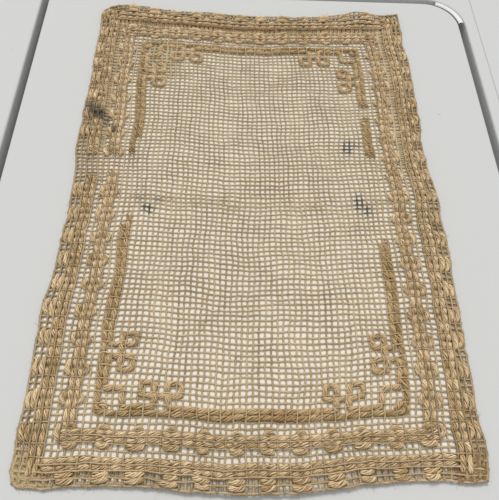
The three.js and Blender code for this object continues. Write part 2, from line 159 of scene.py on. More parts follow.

# Marks on the mat, and one painted shadow: place and half size in holes, and how strong
MARKS_AND_SHADOW = (
    # across, along, half across, half along, grey, brown
    (0.9, 74.8, 0.9, 0.7, 0.9, 0.0),
    (1.5, 73.4, 0.9, 1.7, 1.0, 0.0),
    (2.6, 72.8, 0.8, 1.9, 1.1, 0.0),
    (3.6, 72.0, 0.8, 1.8, 1.1, 0.0),
    (4.6, 71.0, 0.7, 1.4, 1.1, 0.0),
    (5.6, 69.3, 0.8, 0.5, 1.0, 0.0),
    (2.2, 59.2, 2.4, 3.2, 0.0, 0.35),
    (6.6, 68.3, 0.5, 0.8, 0.9, 0.0),
    (14.7, 48.6, 1.1, 1.0, 1.4, 0.0),
    (16.4, 50.8, 0.9, 0.7, 0.5, 0.0),
    (13.0, 50.6, 1.6, 1.2, 0.35, 0.0),
    (54.6, 65.3, 1.0, 2.0, 1.4, 0.5),
    (56.2, 66.2, 1.4, 0.8, 0.6, 0.3),
    (55.4, 51.2, 1.0, 2.0, 1.3, 0.2),
    (57.0, 49.4, 0.9, 1.5, 1.1, 0.1),
    # Painted shadow: the dark brown line under the curled-up back band
    (35.0, 100.9, 33.0, 0.6, 0.0, 1.0),
    (35.0, -0.1, 40.0, 0.5, 0.0, 0.4),
    (-0.1, 52.0, 0.45, 60.0, 0.0, 0.45),
    (70.1, 52.0, 0.45, 60.0, 0.0, 0.5),
    (49.4, 44.5, 0.6, 0.5, 0.8, 0.0),
    (32.4, 20.5, 0.5, 0.5, 0.9, 0.0),
    (39.5, 11.0, 3.2, 1.6, 0.0, 0.45),
    (24.0, 33.0, 5.0, 3.5, 0.0, 0.35),
    (40.0, 56.0, 7.0, 3.0, 0.0, 0.3),
    (47.0, 30.0, 4.0, 3.0, 0.0, 0.3),
    (20.0, 78.0, 5.0, 3.0, 0.0, 0.25),
    (45.0, 84.0, 6.0, 2.5, 0.0, 0.25),
)


# The cloth's form
def read_table(table, column, at):
    """A smooth curve through one named column of a table."""
    stations = np.array(table["at"], float)
    values = np.array(table[column], float)
    last = len(stations) - 1
    spot = np.clip(np.asarray(at, float), stations[0], stations[-1])
    step = np.searchsorted(stations[1:last], spot, side="left")
    index = np.arange(last + 1)
    before, after = np.maximum(index - 1, 0), np.minimum(index + 1, last)
    slopes = (values[after] - values[before]) / (stations[after] - stations[before])
    span = stations[step + 1] - stations[step]
    t = (spot - stations[step]) / span
    rise = values[step + 1] - values[step]
    pull_start = slopes[step] * span - rise
    pull_end = rise - slopes[step + 1] * span
    bend = t * (1 - t)
    return values[step] + rise * t + bend * (pull_start * (1 - t) + pull_end * t)


def between(at, places, values):
    """Straight lines between the values that belong to a row of places."""
    places = np.array(places, float)
    stack = np.array(values)
    step = np.searchsorted(places[1:-1], at, side="left")
    t = (at - places[step]) / (places[step + 1] - places[step])
    low = np.take_along_axis(stack, step[None], 0)[0]
    high = np.take_along_axis(stack, step[None] + 1, 0)[0]
    return low + (high - low) * t


def plateau(at, middle, half):
    """1 round the middle, falling off to 0 past half each way."""
    return np.exp(-((at - middle) / half) ** 4)


def smooth_noise(shape, reach):
    """Random values that change over about reach steps, with a spread of 1."""
    field = rng.standard_normal(shape)
    for _ in range(reach * reach):
        padded = np.pad(field, 1, mode="edge")
        beside = padded[:-2, 1:-1] + padded[2:, 1:-1] + padded[1:-1, :-2] + padded[1:-1, 2:]
        field = beside / 8 + field / 2
    return field / field.std()


def uneven_along(run, every):
    """Random values along a strand, a new one every so many holes, with a spread of 1."""
    knots = np.arange(0, run[-1] + 3, every)
    return np.interp(run, knots, rng.standard_normal(len(knots)))


LATTICE = (ACROSS + 1, ALONG + 1)
BROAD_WANDER = 0.15
BROAD_REACH = 5
FINE_WANDER = 0.07
WANDER = [
    BROAD_WANDER * smooth_noise(LATTICE, BROAD_REACH) + FINE_WANDER * smooth_noise(LATTICE, 1)
    for _ in range(2)
]


def wander(which, u, v):
    """The net's own small unevenness, in holes, read between its crossings."""
    field = WANDER[which]
    i = np.clip(np.floor(u).astype(int), 0, ACROSS - 1)
    j = np.clip(np.floor(v).astype(int), 0, ALONG - 1)
    s, t = np.clip(u - i, 0, 1), np.clip(v - j, 0, 1)
    front = field[i, j] * (1 - s) + field[i + 1, j] * s
    back = field[i, j + 1] * (1 - s) + field[i + 1, j + 1] * s
    return front * (1 - t) + back * t


def place(u, v):
    """Where places on the net lie, in millimetres."""
    u, v = np.asarray(u, float), np.asarray(v, float)
    du, dv = wander(0, u, v), wander(1, u, v)
    for corner_u, corner_v, worn in WORN_CORNERS:
        near_u = np.clip(1 - abs(u - corner_u) / WORN_HOLES, 0, 1)
        near_v = np.clip(1 - abs(v - corner_v) / WORN_HOLES, 0, 1)
        near = near_u * near_v
        du = du + near * worn * (1 if corner_u == 0 else -1)
        dv = dv + near * worn * (1 if corner_v == 0 else -1)
    columns = [read_table(SIDEWAYS, name, v) for name in ("left", "left_bar", "right_bar", "right")]
    row_names = ("front", "front_bar", "back_bar", "hem", "back")
    rows = [read_table(LENGTHWISE, name, u) for name in row_names]
    sideways = between(u, (0, BAR_START, ACROSS - BAR_START, ACROSS), columns)
    row_places = (0, BAR_START, ALONG - BAR_START, ALONG - HEM_HOLES, ALONG)
    lengthwise = between(v, row_places, rows)
    x = (u + du - ACROSS / 2 + sideways) * PITCH - MIDDLE[0]
    y = (v + dv - ALONG / 2 + lengthwise) * PITCH - MIDDLE[1]
    return x, y


def ridge(at, fold):
    """Height of the cloth over a low fold."""
    middle, half, high = fold
    return high * np.maximum(0, 1 - (abs(at - middle) / half) ** 1.5)


def underside(u, v):
    """Height of the net's underside over the table."""
    back = np.maximum(0, (v - ALONG + BACK_CURL_HOLES) / BACK_CURL_HOLES)
    front = np.maximum(0, (FRONT_CURL_HOLES - v) / FRONT_CURL_HOLES)
    curl = read_table(CURL, "back", u) * back + read_table(CURL, "front", u) * front
    return curl + np.maximum(ridge(v, CROSS_FOLD), ridge(u, LONG_FOLD))


def hem_rise(u, v):
    """How much higher the net lies on its folded layer, with a soft step beside it."""
    inside = np.minimum(np.minimum(u, ACROSS - u), np.minimum(v, ALONG - v))
    t = np.clip((inside - HEM_HOLES) / HEM_STEP, 0, 1)
    return HEM_RISE * (1 - t * t * (3 - 2 * t))


def snug(u, v):
    """How much fuller the net's threads are where the cloth is drawn together."""
    inside = np.minimum(u, ACROSS - u)
    fuller = {
        "beside_back_band": plateau(ALONG - v, 4.6, 1.2),
        "between_side_bands": plateau(inside, 4.9, 1.0) * np.clip((v - 45) / 25, 0, 1),
        "hem": plateau(np.minimum(inside, np.minimum(v, ALONG - v)), 0, HEM_HOLES),
        "back_left": plateau(u, 14, 5) * plateau(v, 90, 6),
    }
    return 1 + sum(SNUG[name] * share for name, share in fuller.items())


def soil_and_shadow(u, v):
    """How grey and how brown the mat is at each place, 0 to 1; the brown also holds a painted shadow."""
    grey, brown = np.zeros_like(u), np.zeros_like(u)
    for mark_u, mark_v, half_u, half_v, grey_share, brown_share in MARKS_AND_SHADOW:
        away = ((u - mark_u) / half_u) ** 2 + ((v - mark_v) / half_v) ** 2
        spot = np.exp(-np.minimum(away, 30) ** 1.3)
        grey = np.maximum(grey, spot * grey_share)
        brown = np.maximum(brown, spot * brown_share)
    return grey, brown


# Strands as meshes
# The least height of a strand over the table
TABLE_GAP = 0.02


class Strands:
    """Strands gathered as arrays, which become one mesh."""

    def __init__(self):
        self.points, self.quads, self.caps, self.uvs, self.notes = [], [], [], [], []
        self.count = 0

    def add(self, centres, radii, places, sides, tone, flat=1.0, tint=0.0):
        """A closed strand along centres, in millimetres, with a radius at each."""
        n = len(centres)
        tangent = np.gradient(centres, axis=0)
        tangent /= np.linalg.norm(tangent, axis=1)[:, None] + 1e-9
        side = np.cross(tangent, (0, 0, 1))
        side /= np.linalg.norm(side, axis=1)[:, None] + 1e-9
        up = np.cross(side, tangent)
        turn = (np.arange(sides) + 0.5) * 2 * math.pi / sides
        sideways = np.cos(turn)[None, :, None] * side[:, None]
        upwards = np.sin(turn)[None, :, None] * up[:, None]
        offset = sideways + flat * upwards
        points = centres[:, None] + np.asarray(radii)[:, None, None] * offset
        points[:, :, 2] = np.maximum(points[:, :, 2], TABLE_GAP)
        ring = np.arange(sides)
        first = self.count + np.arange(n - 1)[:, None] * sides
        after = (ring + 1) % sides
        quads = np.stack([first + ring, first + sides + ring, first + sides + after, first + after], -1)
        run = np.concatenate([[0], np.cumsum(np.linalg.norm(np.diff(centres, axis=0), axis=1))])
        along = np.broadcast_to(run[:-1, None], (n - 1, sides))
        along_next = np.broadcast_to(run[1:, None], (n - 1, sides))
        around = np.broadcast_to(ring / sides, (n - 1, sides))
        around_next = around + 1 / sides
        start = rng.uniform(0, 500)
        corners = [(along, around), (along_next, around), (along_next, around_next), (along, around_next)]
        uv = np.stack([np.stack([a + start, b], -1) for a, b in corners], -2)
        self.points.append(points.reshape(-1, 3))
        self.quads.append(quads.reshape(-1, 4))
        self.uvs.append(uv.reshape(-1, 2))
        self.caps.append(self.count + ring)
        self.caps.append(self.count + (n - 1) * sides + ring[::-1])
        grey, brown = soil_and_shadow(places[:, 0], places[:, 1])
        # The brown takes real marks and also painted shade from a strand's tint; the tone also carries
        # painted light and shade
        note = np.stack([grey, np.maximum(brown, tint), np.broadcast_to(tone, (n,))], -1)
        self.notes.append(np.repeat(note, sides, axis=0))
        self.count += n * sides

    def lay(self, u, v, z, radii, *look):
        """A strand through places on the net, at heights z."""
        self.add(np.stack([*place(u, v), z], -1), radii, np.stack([u, v], -1), *look)

    def mesh(self, name, material):
        """One smooth mesh object of all the strands."""
        points = np.concatenate(self.points) * MM
        quads = np.concatenate(self.quads)
        caps = np.concatenate(self.caps)
        cap_sizes = np.array([len(cap) for cap in self.caps])
        corners = np.concatenate([quads.ravel(), caps])
        sizes = np.concatenate([np.full(len(quads), 4), cap_sizes])
        uvs = np.concatenate([np.concatenate(self.uvs), np.zeros((len(caps), 2))])
        mesh = bpy.data.meshes.new(name)
        mesh.vertices.add(len(points))
        mesh.vertices.foreach_set("co", points.astype(np.float32).ravel())
        mesh.loops.add(len(corners))
        mesh.loops.foreach_set("vertex_index", corners.astype(np.int32))
        mesh.polygons.add(len(sizes))
        mesh.polygons.foreach_set("loop_start", (np.cumsum(sizes) - sizes).astype(np.int32))
        mesh.polygons.foreach_set("use_smooth", np.ones(len(sizes), bool))
        layer = mesh.uv_layers.new(name="strand")
        layer.uv.foreach_set("vector", uvs.astype(np.float32).ravel())
        notes = mesh.attributes.new("wear_and_painted_light", "FLOAT_VECTOR", "POINT")
        notes.data.foreach_set("vector", np.concatenate(self.notes).astype(np.float32).ravel())
        mesh.update(calc_edges=True)
        mesh.validate()
        mesh.materials.append(material)
        piece = bpy.data.objects.new(name, mesh)
        bpy.context.scene.collection.objects.link(piece)
        return piece


# The yarn
TIES = {"along": {}, "across": {}}


def note_tie(family, number, at, top):
    """A net thread that lies over the yarn, so the net's builder can lift it."""
    TIES[family].setdefault(int(number), []).append((float(at), float(top)))


def crossings(path):
    """Net threads that a path of yarn crosses: family, thread, place on it, point."""
    found = []
    steps = np.diff(path, axis=0)
    for axis, family in ((0, "along"), (1, "across")):
        mainly = abs(steps[:, axis]) > abs(steps[:, 1 - axis])
        cell = np.floor(path[:, axis] - 1e-6)
        for k in np.nonzero(mainly & (cell[1:] != cell[:-1]))[0]:
            number = max(cell[k], cell[k + 1])
            share = (number - path[k, axis]) / steps[k, axis]
            other = path[k, 1 - axis] + share * steps[k, 1 - axis]
            found.append((family, int(number), other, k + share))
    return found


def held_down(path, run, base, is_tied, dimples):
    """How net threads and dimples pinch and dent a path of yarn, and how far it sinks."""
    index = np.arange(len(path))
    pinch = np.zeros(len(path))
    dent = np.zeros(len(path))
    for family, number, other, point in crossings(path):
        if is_tied(family, number, other):
            at_run = np.interp(point, index, run)
            pinch = np.maximum(pinch, np.exp(-((run - at_run) / TIE_HALF) ** 2))
            note_tie(family, number, other, np.interp(point, index, base) + TIE_TOP)
    sink = TIE_DIP * pinch
    for at, deep in dimples:
        dip = deep * np.exp(-((run - at) / DIMPLE_HALF) ** 2)
        sink = sink + DIMPLE_DIP * dip
        pinch = np.maximum(pinch, DIMPLE_PINCH * dip)
        dent = np.maximum(dent, dip)
    return pinch, dent, sink


def yarn_ends(run, fray):
    """How the plies spread, thin and sink at a frayed end or at one pushed under the net."""
    spread, body, sink = np.ones(len(run)), np.ones(len(run)), np.zeros(len(run))
    for away, frayed in ((run, fray[0]), (run[-1] - run, fray[1])):
        if frayed:
            loose = np.clip(1 - away / FRAYED["length"], 0, 1)
            spread = spread + FRAYED["spread"] * loose ** 1.5
            body = body * (1 - FRAYED["thin"] * loose ** 2)
            sink = sink + FRAYED["sink"] * loose
        else:
            close = np.clip(1 - away / BURIED["length"], 0, 1)
            spread = spread * (1 - BURIED["close"] * close ** 2)
            body = body * (1 - BURIED["thin"] * close ** 3)
            sink = sink + BURIED["sink"] * close ** 2
    return spread, body, sink


def add_yarn(strands, path, is_tied, dimples=(), thick=1.0, fray=(False, False), tone=0.0):
    """Twisted plies along a path, held down where net threads cross over."""
    path = np.asarray(path, float)
    u, v = path[:, 0], path[:, 1]
    steps = np.linalg.norm(np.diff(path, axis=0), axis=1)
    run = np.concatenate([[0], np.cumsum(steps)])
    base = underside(u, v) + hem_rise(u, v)
    pinch, dent, sink = held_down(path, run, base, is_tied, dimples)
    spread, body, end_sink = yarn_ends(run, fray)
    uneven = 1 + PLY_VARIES["size"] * uneven_along(run, 1.5)
    x, y = place(u, v)
    centre = np.stack([x, y, base + YARN_HEIGHT - sink - end_sink], -1)
    tangent = np.gradient(centre, axis=0)
    tangent /= np.linalg.norm(tangent, axis=1)[:, None]
    left = np.cross((0, 0, 1), tangent)
    left /= np.linalg.norm(left, axis=1)[:, None]
    up = np.cross(tangent, left)
    phase = rng.uniform(0, 2 * math.pi)
    turn_holes = TURN_HOLES * rng.uniform(0.92, 1.08)
    sway = 0.35 * np.sin(run * rng.uniform(0.5, 0.9) + phase)
    turning = 2 * math.pi * run / turn_holes + phase + sway
    knots = np.arange(0, run[-1] + 3, 1.0)
    # Painted shade: the plies are painted browner and darker beside ties and in dimples
    tint = PINCHED["brown"] * pinch + DENTED["brown"] * dent
    shadow = PINCHED["dark"] * pinch + DENTED["dark"] * dent
    for ply in range(PLIES):
        # Three rows are drawn and only the first is used; the other two only move the later draws along
        slack = np.interp(run, knots, rng.standard_normal((3, len(knots)))[0])
        drift = uneven_along(run, 1.0)
        shade = uneven_along(run, 1.0)
        angle = turning + ply * 2 * math.pi / PLIES + PLY_VARIES["angle"] * drift
        reach = PLY_SPREAD * thick * spread * uneven * (1 - PINCHED["spread"] * pinch)
        reach = reach * (1 + PLY_VARIES["spread"] * slack)
        wide = (reach * np.sin(angle))[:, None] * left
        high = (reach * YARN_FLAT * np.cos(angle))[:, None] * up
        radii = PLY_RADIUS * thick * body * uneven * (1 - PINCHED["thin"] * pinch)
        radii = radii * (1 - PLY_VARIES["radius"] * drift)
        ply_tone = tone + rng.uniform(-1, 1) * PLY_VARIES["tone"] + PLY_VARIES["shade"] * shade
        ply_tone = ply_tone + YARN_TONE - shadow
        strands.add(centre + wide + high, radii, path, PLY_SIDES, ply_tone, PLY_FLAT, tint)
    return centre, tangent, left


def add_fibre(strands, kind, root, foot, reach, bend):
    """A fine fibre that bends and thins towards its tip, from near a place on the net."""
    t = np.linspace(0, 1, len(kind["taper"]))[:, None]
    points = foot + reach * t + bend * t * t
    points[:, 2] = np.maximum(points[:, 2] - kind["sag"] * t[:, 0], kind["lowest"])
    radii = rng.uniform(*FIBRE_RADIUS) * np.array(kind["taper"])
    places = np.repeat(root[None], len(t), axis=0)
    strands.add(points, radii, places, FIBRE_SIDES, rng.uniform(*kind["tone"]))


def add_fuzz(strands, lines, count, longest):
    """Short loose fibres that stand off the yarn."""
    sizes = np.array([len(line[0]) for line, _ in lines], float)
    chosen = rng.choice(len(lines), count, p=sizes / sizes.sum())
    for k in chosen:
        (centre, tangent, left), path = lines[k]
        i = rng.integers(1, len(centre) - 1)
        lean = rng.uniform(-FIBRE_STEEPEST, FIBRE_STEEPEST)
        out = math.sin(lean) * left[i] + math.cos(lean) * np.array([0, 0, 0.8])
        aim = out * rng.uniform(0.2, 0.9) + tangent[i] * rng.uniform(-1, 1) + rng.normal(0, 0.25, 3)
        aim /= np.linalg.norm(aim)
        length = longest * rng.uniform(0.25, 1) ** 1.5
        bend = rng.normal(0, 0.35, 3) * length
        add_fibre(strands, FUZZ, path[i], centre[i] + 1.5 * out, aim * length, bend)


def on_side(side, s, depth):
    """Points at places s along one side of the mat, depth holes in from it."""
    s, depth = np.broadcast_arrays(np.asarray(s, float), np.asarray(depth, float))
    if side == "front":
        return np.stack([s, depth], -1)
    if side == "back":
        return np.stack([s, ALONG - depth], -1)
    if side == "left":
        return np.stack([depth, s], -1)
    return np.stack([ACROSS - depth, s], -1)


# The two light bands, with places and lengths in holes
FIRST_KNOB = 7.5
KNOB_EVERY = 5
KNOB_ROOM = 0.9
ROW_TONE = {"back": 0.5, "right": 0.3, "left": 0.1, "front": 0.0}
MIDDLE_ROW_TONE = {**ROW_TONE, "left": 0.35}
KNOB_TONE = {"back": 0.3, "right": 0.15, "left": 0.2, "front": 0.0}
OUTER_ROWS = (2.5, 3.5)
OUTER_KNOBS = ({"ends": 1.75, "middle": 1.42}, {"ends": 0.85, "middle": 0.5})
MIDDLE_ROWS = (6.5, 7.5)
OUTWARD_KNOBS = {"ends": 5.9, "middle": 5.42, "thick": 1.06, "half": 1.15}
INWARD_KNOBS = {"ends": 8.05, "middle": 8.45, "thick": 0.72, "half": 0.95}
CORNER_KNOBS = 2.2
# Lengths of each band: side, start, end
OUTER_ENDS = (("front", 4.1, 65.9), ("back", 4.1, 65.9))
OUTER_SIDES = (
    ("right", 1.3, 103.7),
    ("left", 1.5, LEFT_OUTER_GAP[0]),
    ("left", LEFT_OUTER_GAP[1], 103.5),
)
MIDDLE_RUNS = (
    ("front", 5.8, 64.2),
    ("back", 5.8, 64.2),
    ("right", 8.3, 96.7),
    ("left", 8.3, LEFT_MIDDLE_GAP[0]),
    ("left", LEFT_MIDDLE_GAP[1], 96.7),
)


def knob_centres(start, end):
    centres = np.arange(FIRST_KNOB, ALONG, KNOB_EVERY)
    return [at for at in centres if start + KNOB_ROOM < at < end - KNOB_ROOM]


def tied_in_band(family, number, other):
    return number % KNOB_EVERY in (1, 4)


def never_tied(family, number, other):
    return False


def band_row(strands, lines, side, depth, start, end, fray, tone):
    """A full row of a band, with a dimple beside each pair of knobs."""
    s = np.arange(start, end + STEP / 2, STEP)
    dimples = [(at - start, rng.uniform(0.7, 1.2)) for at in knob_centres(start, end)]
    path = on_side(side, s, depth)
    lines.append((add_yarn(strands, path, tied_in_band, dimples, fray=fray, tone=tone), path))


def knobs(strands, lines, side, start, end, ends, middle, thick, half):
    """Crescents of yarn that bulge away from a band's full rows."""
    t = np.linspace(-1, 1, 13)
    for at in knob_centres(start, end):
        reach = half * rng.uniform(0.85, 1.1)
        depth = ends + (middle - ends) * (1 - t * t) * rng.uniform(0.8, 1.2)
        s = at + reach * t + rng.uniform(-0.15, 0.15)
        path = on_side(side, s, depth + rng.uniform(-0.06, 0.06))
        size = thick * rng.uniform(0.88, 1.08)
        tone = KNOB_TONE[side] + rng.uniform(-0.35, 0.25)
        lines.append((add_yarn(strands, path, never_tied, thick=size, tone=tone), path))


def outer_band(runs, thick, half):
    """The outer band along some of the sides: two rows, and two lines of knobs outside."""
    strands, lines = Strands(), []
    for side, start, end in runs:
        fray = (start == LEFT_OUTER_GAP[1], end == LEFT_OUTER_GAP[0])
        for depth in OUTER_ROWS:
            band_row(strands, lines, side, depth, start, end, fray, ROW_TONE[side])
        for arc in OUTER_KNOBS:
            knobs(strands, lines, side, start, end, **arc, thick=thick, half=half)
    add_fuzz(strands, lines, count=700, longest=4.5)
    return strands


def middle_band():
    """The middle band: two rows with knobs to both sides of them."""
    strands, lines = Strands(), []
    for side, start, end in MIDDLE_RUNS:
        fray = (start == LEFT_MIDDLE_GAP[1], end == LEFT_MIDDLE_GAP[0])
        for depth in MIDDLE_ROWS:
            band_row(strands, lines, side, depth, start, end, fray, MIDDLE_ROW_TONE[side])
        past = CORNER_KNOBS if side in ("left", "right") else 0
        first = start - past if start < BAR_START else start
        last = end + past if end > ALONG - BAR_START else end
        knobs(strands, lines, side, first, last, **OUTWARD_KNOBS)
        knobs(strands, lines, side, start, end, **INWARD_KNOBS)
    add_fuzz(strands, lines, count=900, longest=5.0)
    return strands


# The dark frame
# Turning points in holes from the frame's corner, first those of its second row
# as it makes a fret and two curls
FRET_TURNS = ((1.5, 4.95), (1.5, 4.5), (4.5, 4.5), (4.5, 1.5))
CURL_TURNS = (
    (9.5, 1.5), (9.5, 5.6), (7.3, 5.6), (7.3, 3.4),
    (13.7, 3.4), (13.7, 5.6), (11.5, 5.6), (11.5, 1.5),
)
CORNER_HOOK = ((1.0, 2.1), (1.75, 1.8), (2.1, 1.0))
# Depths of the bar's two rows, and where its ends and corners are
OUTER_ROW = 0.56
INNER_ROW = 1.5
CORNER_AT = 0.5
BAR_END = 1.3
# How the yarn differs along the frame
FRAME_THICK = 1.18
INNER_THINNER = 0.14
INNER_PALER = 0.7
BACK_LEFT_FADE = 1.5
LEFT_TAPER = 1.8
LEFT_THIN = 4


def rounded(turns, passes):
    """A path through turning points, its corners rounded."""
    points = [np.array(turns[0], float)]
    for a, b in zip(turns[:-1], turns[1:]):
        a, b = np.array(a, float), np.array(b, float)
        count = max(1, int(round(np.abs(b - a).max() / STEP)))
        points.extend(a + (b - a) * (k + 1) / count for k in range(count))
    path = np.array(points)
    for _ in range(passes):
        path[1:-1] = (path[:-2] + 2 * path[1:-1] + path[2:]) / 4
    return path


def mirrored(turns, length):
    """The same turns from a bar's other end, in the order that follows them."""
    return tuple((length - a, b) for a, b in reversed(turns))


def tied_in_bar(along_side):
    """Every second thread holds the dark yarn, out of step in a motif's top rows."""
    def rule(family, number, other):
        crosses_run = (family == "along") == along_side
        other_length = ALONG if along_side else ACROSS
        depth = math.floor(min(other, other_length - other) - BAR_START)
        odd = crosses_run and depth in (4, 5)
        return number % 2 == (1 if odd else 0)
    return rule


def path_depth(path):
    """How far each point of a path is from the nearest side of the mat."""
    u, v = path[:, 0], path[:, 1]
    return np.minimum(np.minimum(u, ACROSS - u), np.minimum(v, ALONG - v))


def in_frame(side, path):
    """A path counted from the frame's corner, placed on one side of the mat."""
    return on_side(side, path[:, 0] + BAR_START, path[:, 1] + BAR_START)


def dark_row(strands, lines, side, turns, fray=(False, False), passes=6, tone=0.0):
    """A row of dark yarn, thinner and paler where it leaves the frame's outer row."""
    path = in_frame(side, rounded(turns, passes))
    rule = tied_in_bar(side in ("front", "back"))
    past_outer_row = path_depth(path) - BAR_START - 1
    inner = np.clip(past_outer_row / 2, 0, 1)
    in_motif = np.clip(past_outer_row / 0.6, 0, 1)
    at_left = np.clip(1.3 - path[:, 0] / 30, 0, 1)
    at_back = np.clip((path[:, 1] - 76) / 12, 0, 1)
    thick = FRAME_THICK - INNER_THINNER * inner
    row_tone = tone + INNER_PALER * inner + BACK_LEFT_FADE * in_motif * at_left * at_back
    made = add_yarn(strands, path, rule, fray=fray, thick=thick, tone=row_tone)
    lines.append((made, path))


def end_bar(strands, lines, side):
    """The dark bar along a short side, with frets, curls and a hook at each corner."""
    length = ACROSS - 2 * BAR_START
    corner = length - CORNER_AT
    outer = ((CORNER_AT, 1.6), (CORNER_AT, OUTER_ROW), (corner, OUTER_ROW), (corner, 1.6))
    dark_row(strands, lines, side, outer, tone=-0.35)
    inner = FRET_TURNS + CURL_TURNS
    dark_row(strands, lines, side, inner + mirrored(inner, length))
    for hook in (CORNER_HOOK, tuple((length - a, b) for a, b in CORNER_HOOK)):
        dark_row(strands, lines, side, hook, passes=1)


def side_bar(strands, lines, side, start, end):
    """A length of dark bar along a long side, with curls at the corners that it reaches."""
    length = ALONG - 2 * BAR_START
    to_front, to_back = start < 2, end > length - 2
    fray = (not to_front, not to_back)
    tapers = side == "left" and to_front
    thins = side == "left" and not to_front
    outer = ((start, OUTER_ROW), (end - LEFT_TAPER * tapers, OUTER_ROW))
    dark_row(strands, lines, side, outer, fray, tone=-0.7 if thins else -0.3)
    motif = ((5.0, INNER_ROW),) + CURL_TURNS
    turns = motif if to_front else ((start + 0.4 + LEFT_THIN * thins, INNER_ROW),)
    turns += mirrored(motif, length) if to_back else ((end - 0.6 + 0.5 * tapers, INNER_ROW),)
    dark_row(strands, lines, side, turns, fray)


def dark_frame():
    """The whole dark frame, with its breaks on the left and the right."""
    strands, lines = Strands(), []
    for side in ("front", "back"):
        end_bar(strands, lines, side)
    last = ALONG - 2 * BAR_START - BAR_END
    side_bar(strands, lines, "left", BAR_END, LEFT_BAR_GAP[0] - BAR_START)
    side_bar(strands, lines, "left", LEFT_BAR_GAP[1] - BAR_START, last)
    for start, end in RIGHT_BAR_ENDS:
        side_bar(strands, lines, "right", start - BAR_START, end - BAR_START)
    add_fuzz(strands, lines, count=700, longest=4.0)
    return strands


# The net
WORN_THIN = 0.78
# How much browner the net threads among the yarn are painted, as painted shade
BAND_SHADE_BROWN = 0.4
LEFT_BREAK = 59.2
LEFT_BREAK_HALF = 1.8
RAW_SIDES_FROM = 58
RAW_SIDES_HOLES = 10
HEM_ENDS = 0.3
HAIRS = {"front": 700, "back": 380}
OUTWARDS = {"front": (0, -1, 0), "back": (0, 1, 0), "left": (-1, 0, 0), "right": (1, 0, 0)}


def hem_wear(u, v):
    """How full the folded layer is, which is worn thin at the left break."""
    low, high = LEFT_OUTER_GAP
    worn = np.clip(1 - abs(v - (low + high) / 2) / (high - low) * 1.4, 0, 1) ** 0.5
    return 1 - WORN_THIN * worn * (u < HEM_HOLES + 1)


def band_shade_tint(u, v):
    """Net threads among the yarn are painted browner, as painted shade between the rows of yarn."""
    depth = path_depth(np.stack([u, v], -1))
    return BAND_SHADE_BROWN * np.maximum(plateau(depth, 2.2, 2.1), plateau(depth, 7.0, 1.5))


def row_edge_rise(family, number, s):
    """Threads beside a full row of yarn ride up between the rows."""
    across_size, along_size = (ALONG, ACROSS) if family == "across" else (ACROSS, ALONG)
    depth = min(number, across_size - number)
    rise = ROW_EDGE_RISE.get(depth, 0.0)
    first = 3 if depth < 5 else 6
    inside = np.minimum(s, along_size - s)
    if family == "along" and number < 9:
        rise = rise * np.clip(abs(s - LEFT_BREAK) - LEFT_BREAK_HALF, 0, 1)
    return rise * np.clip((inside - first) / 0.5, 0, 1)


def raw_edge(family, number, edge):
    """How far a folded thread's loose end reaches past its hem, 0 to 1."""
    if family == "along":
        return 1.0 if edge > 0 else 0.0
    return min(1.0, max(0.0, (number - RAW_SIDES_FROM) / RAW_SIDES_HOLES))


def hem_fill(family, edge, s):
    """How much a hem's folded threads fill the holes over them, 0 to 1."""
    length = ALONG if family == "along" else ACROSS
    near_corner = np.clip(1.6 - np.minimum(s, length - s) / 6, 0, 1)
    if family == "across" and edge > 0:
        least = HEM_FILL["back"]
    elif family == "across":
        least = HEM_FILL["front"] + HEM_FILL["front_left"] * np.clip((22 - s) / 8, 0, 1)
    elif edge > 0:
        least = HEM_FILL["right"]
    else:
        least = HEM_FILL["left"] * np.clip((s - 61) / 5, 0, 1)
    return np.maximum(near_corner, least)


def folded_end(family, number, edge, tone):
    """A thread's end under the hem, from its tip to the edge: place, height, radius, tone."""
    inward = 1 if edge == 0 else -1
    loose = raw_edge(family, number, edge)
    tuck = np.array([4.1 + 1.3 * loose, 3, 2, 1, 0.1, -0.12])
    filled = float(hem_fill("along" if family == "across" else "across", edge, number))
    slide = 0.06 + 0.32 * filled + 0.08 * math.sin(0.37 * number)
    slide = slide * np.clip(tuck / 1.5, 0, 1)
    slide[0] += 0.4 * loose
    middle = (ACROSS if family == "along" else ALONG) / 2
    s = edge + inward * tuck
    line = number + slide * (1 if number < middle else -1)
    u, v = (line, s) if family == "along" else (s, line)
    z = underside(u, v) + UNDER_HEIGHT + np.array([0, 0, 0, 0, 0, 0.55])
    radii = (1.2 + 0.6 * filled) * THREAD_RADIUS[family] * hem_wear(u, v)
    return np.stack([u, v, z, radii, tone + 0.9 * loose * (tuck > 3.5)], -1)


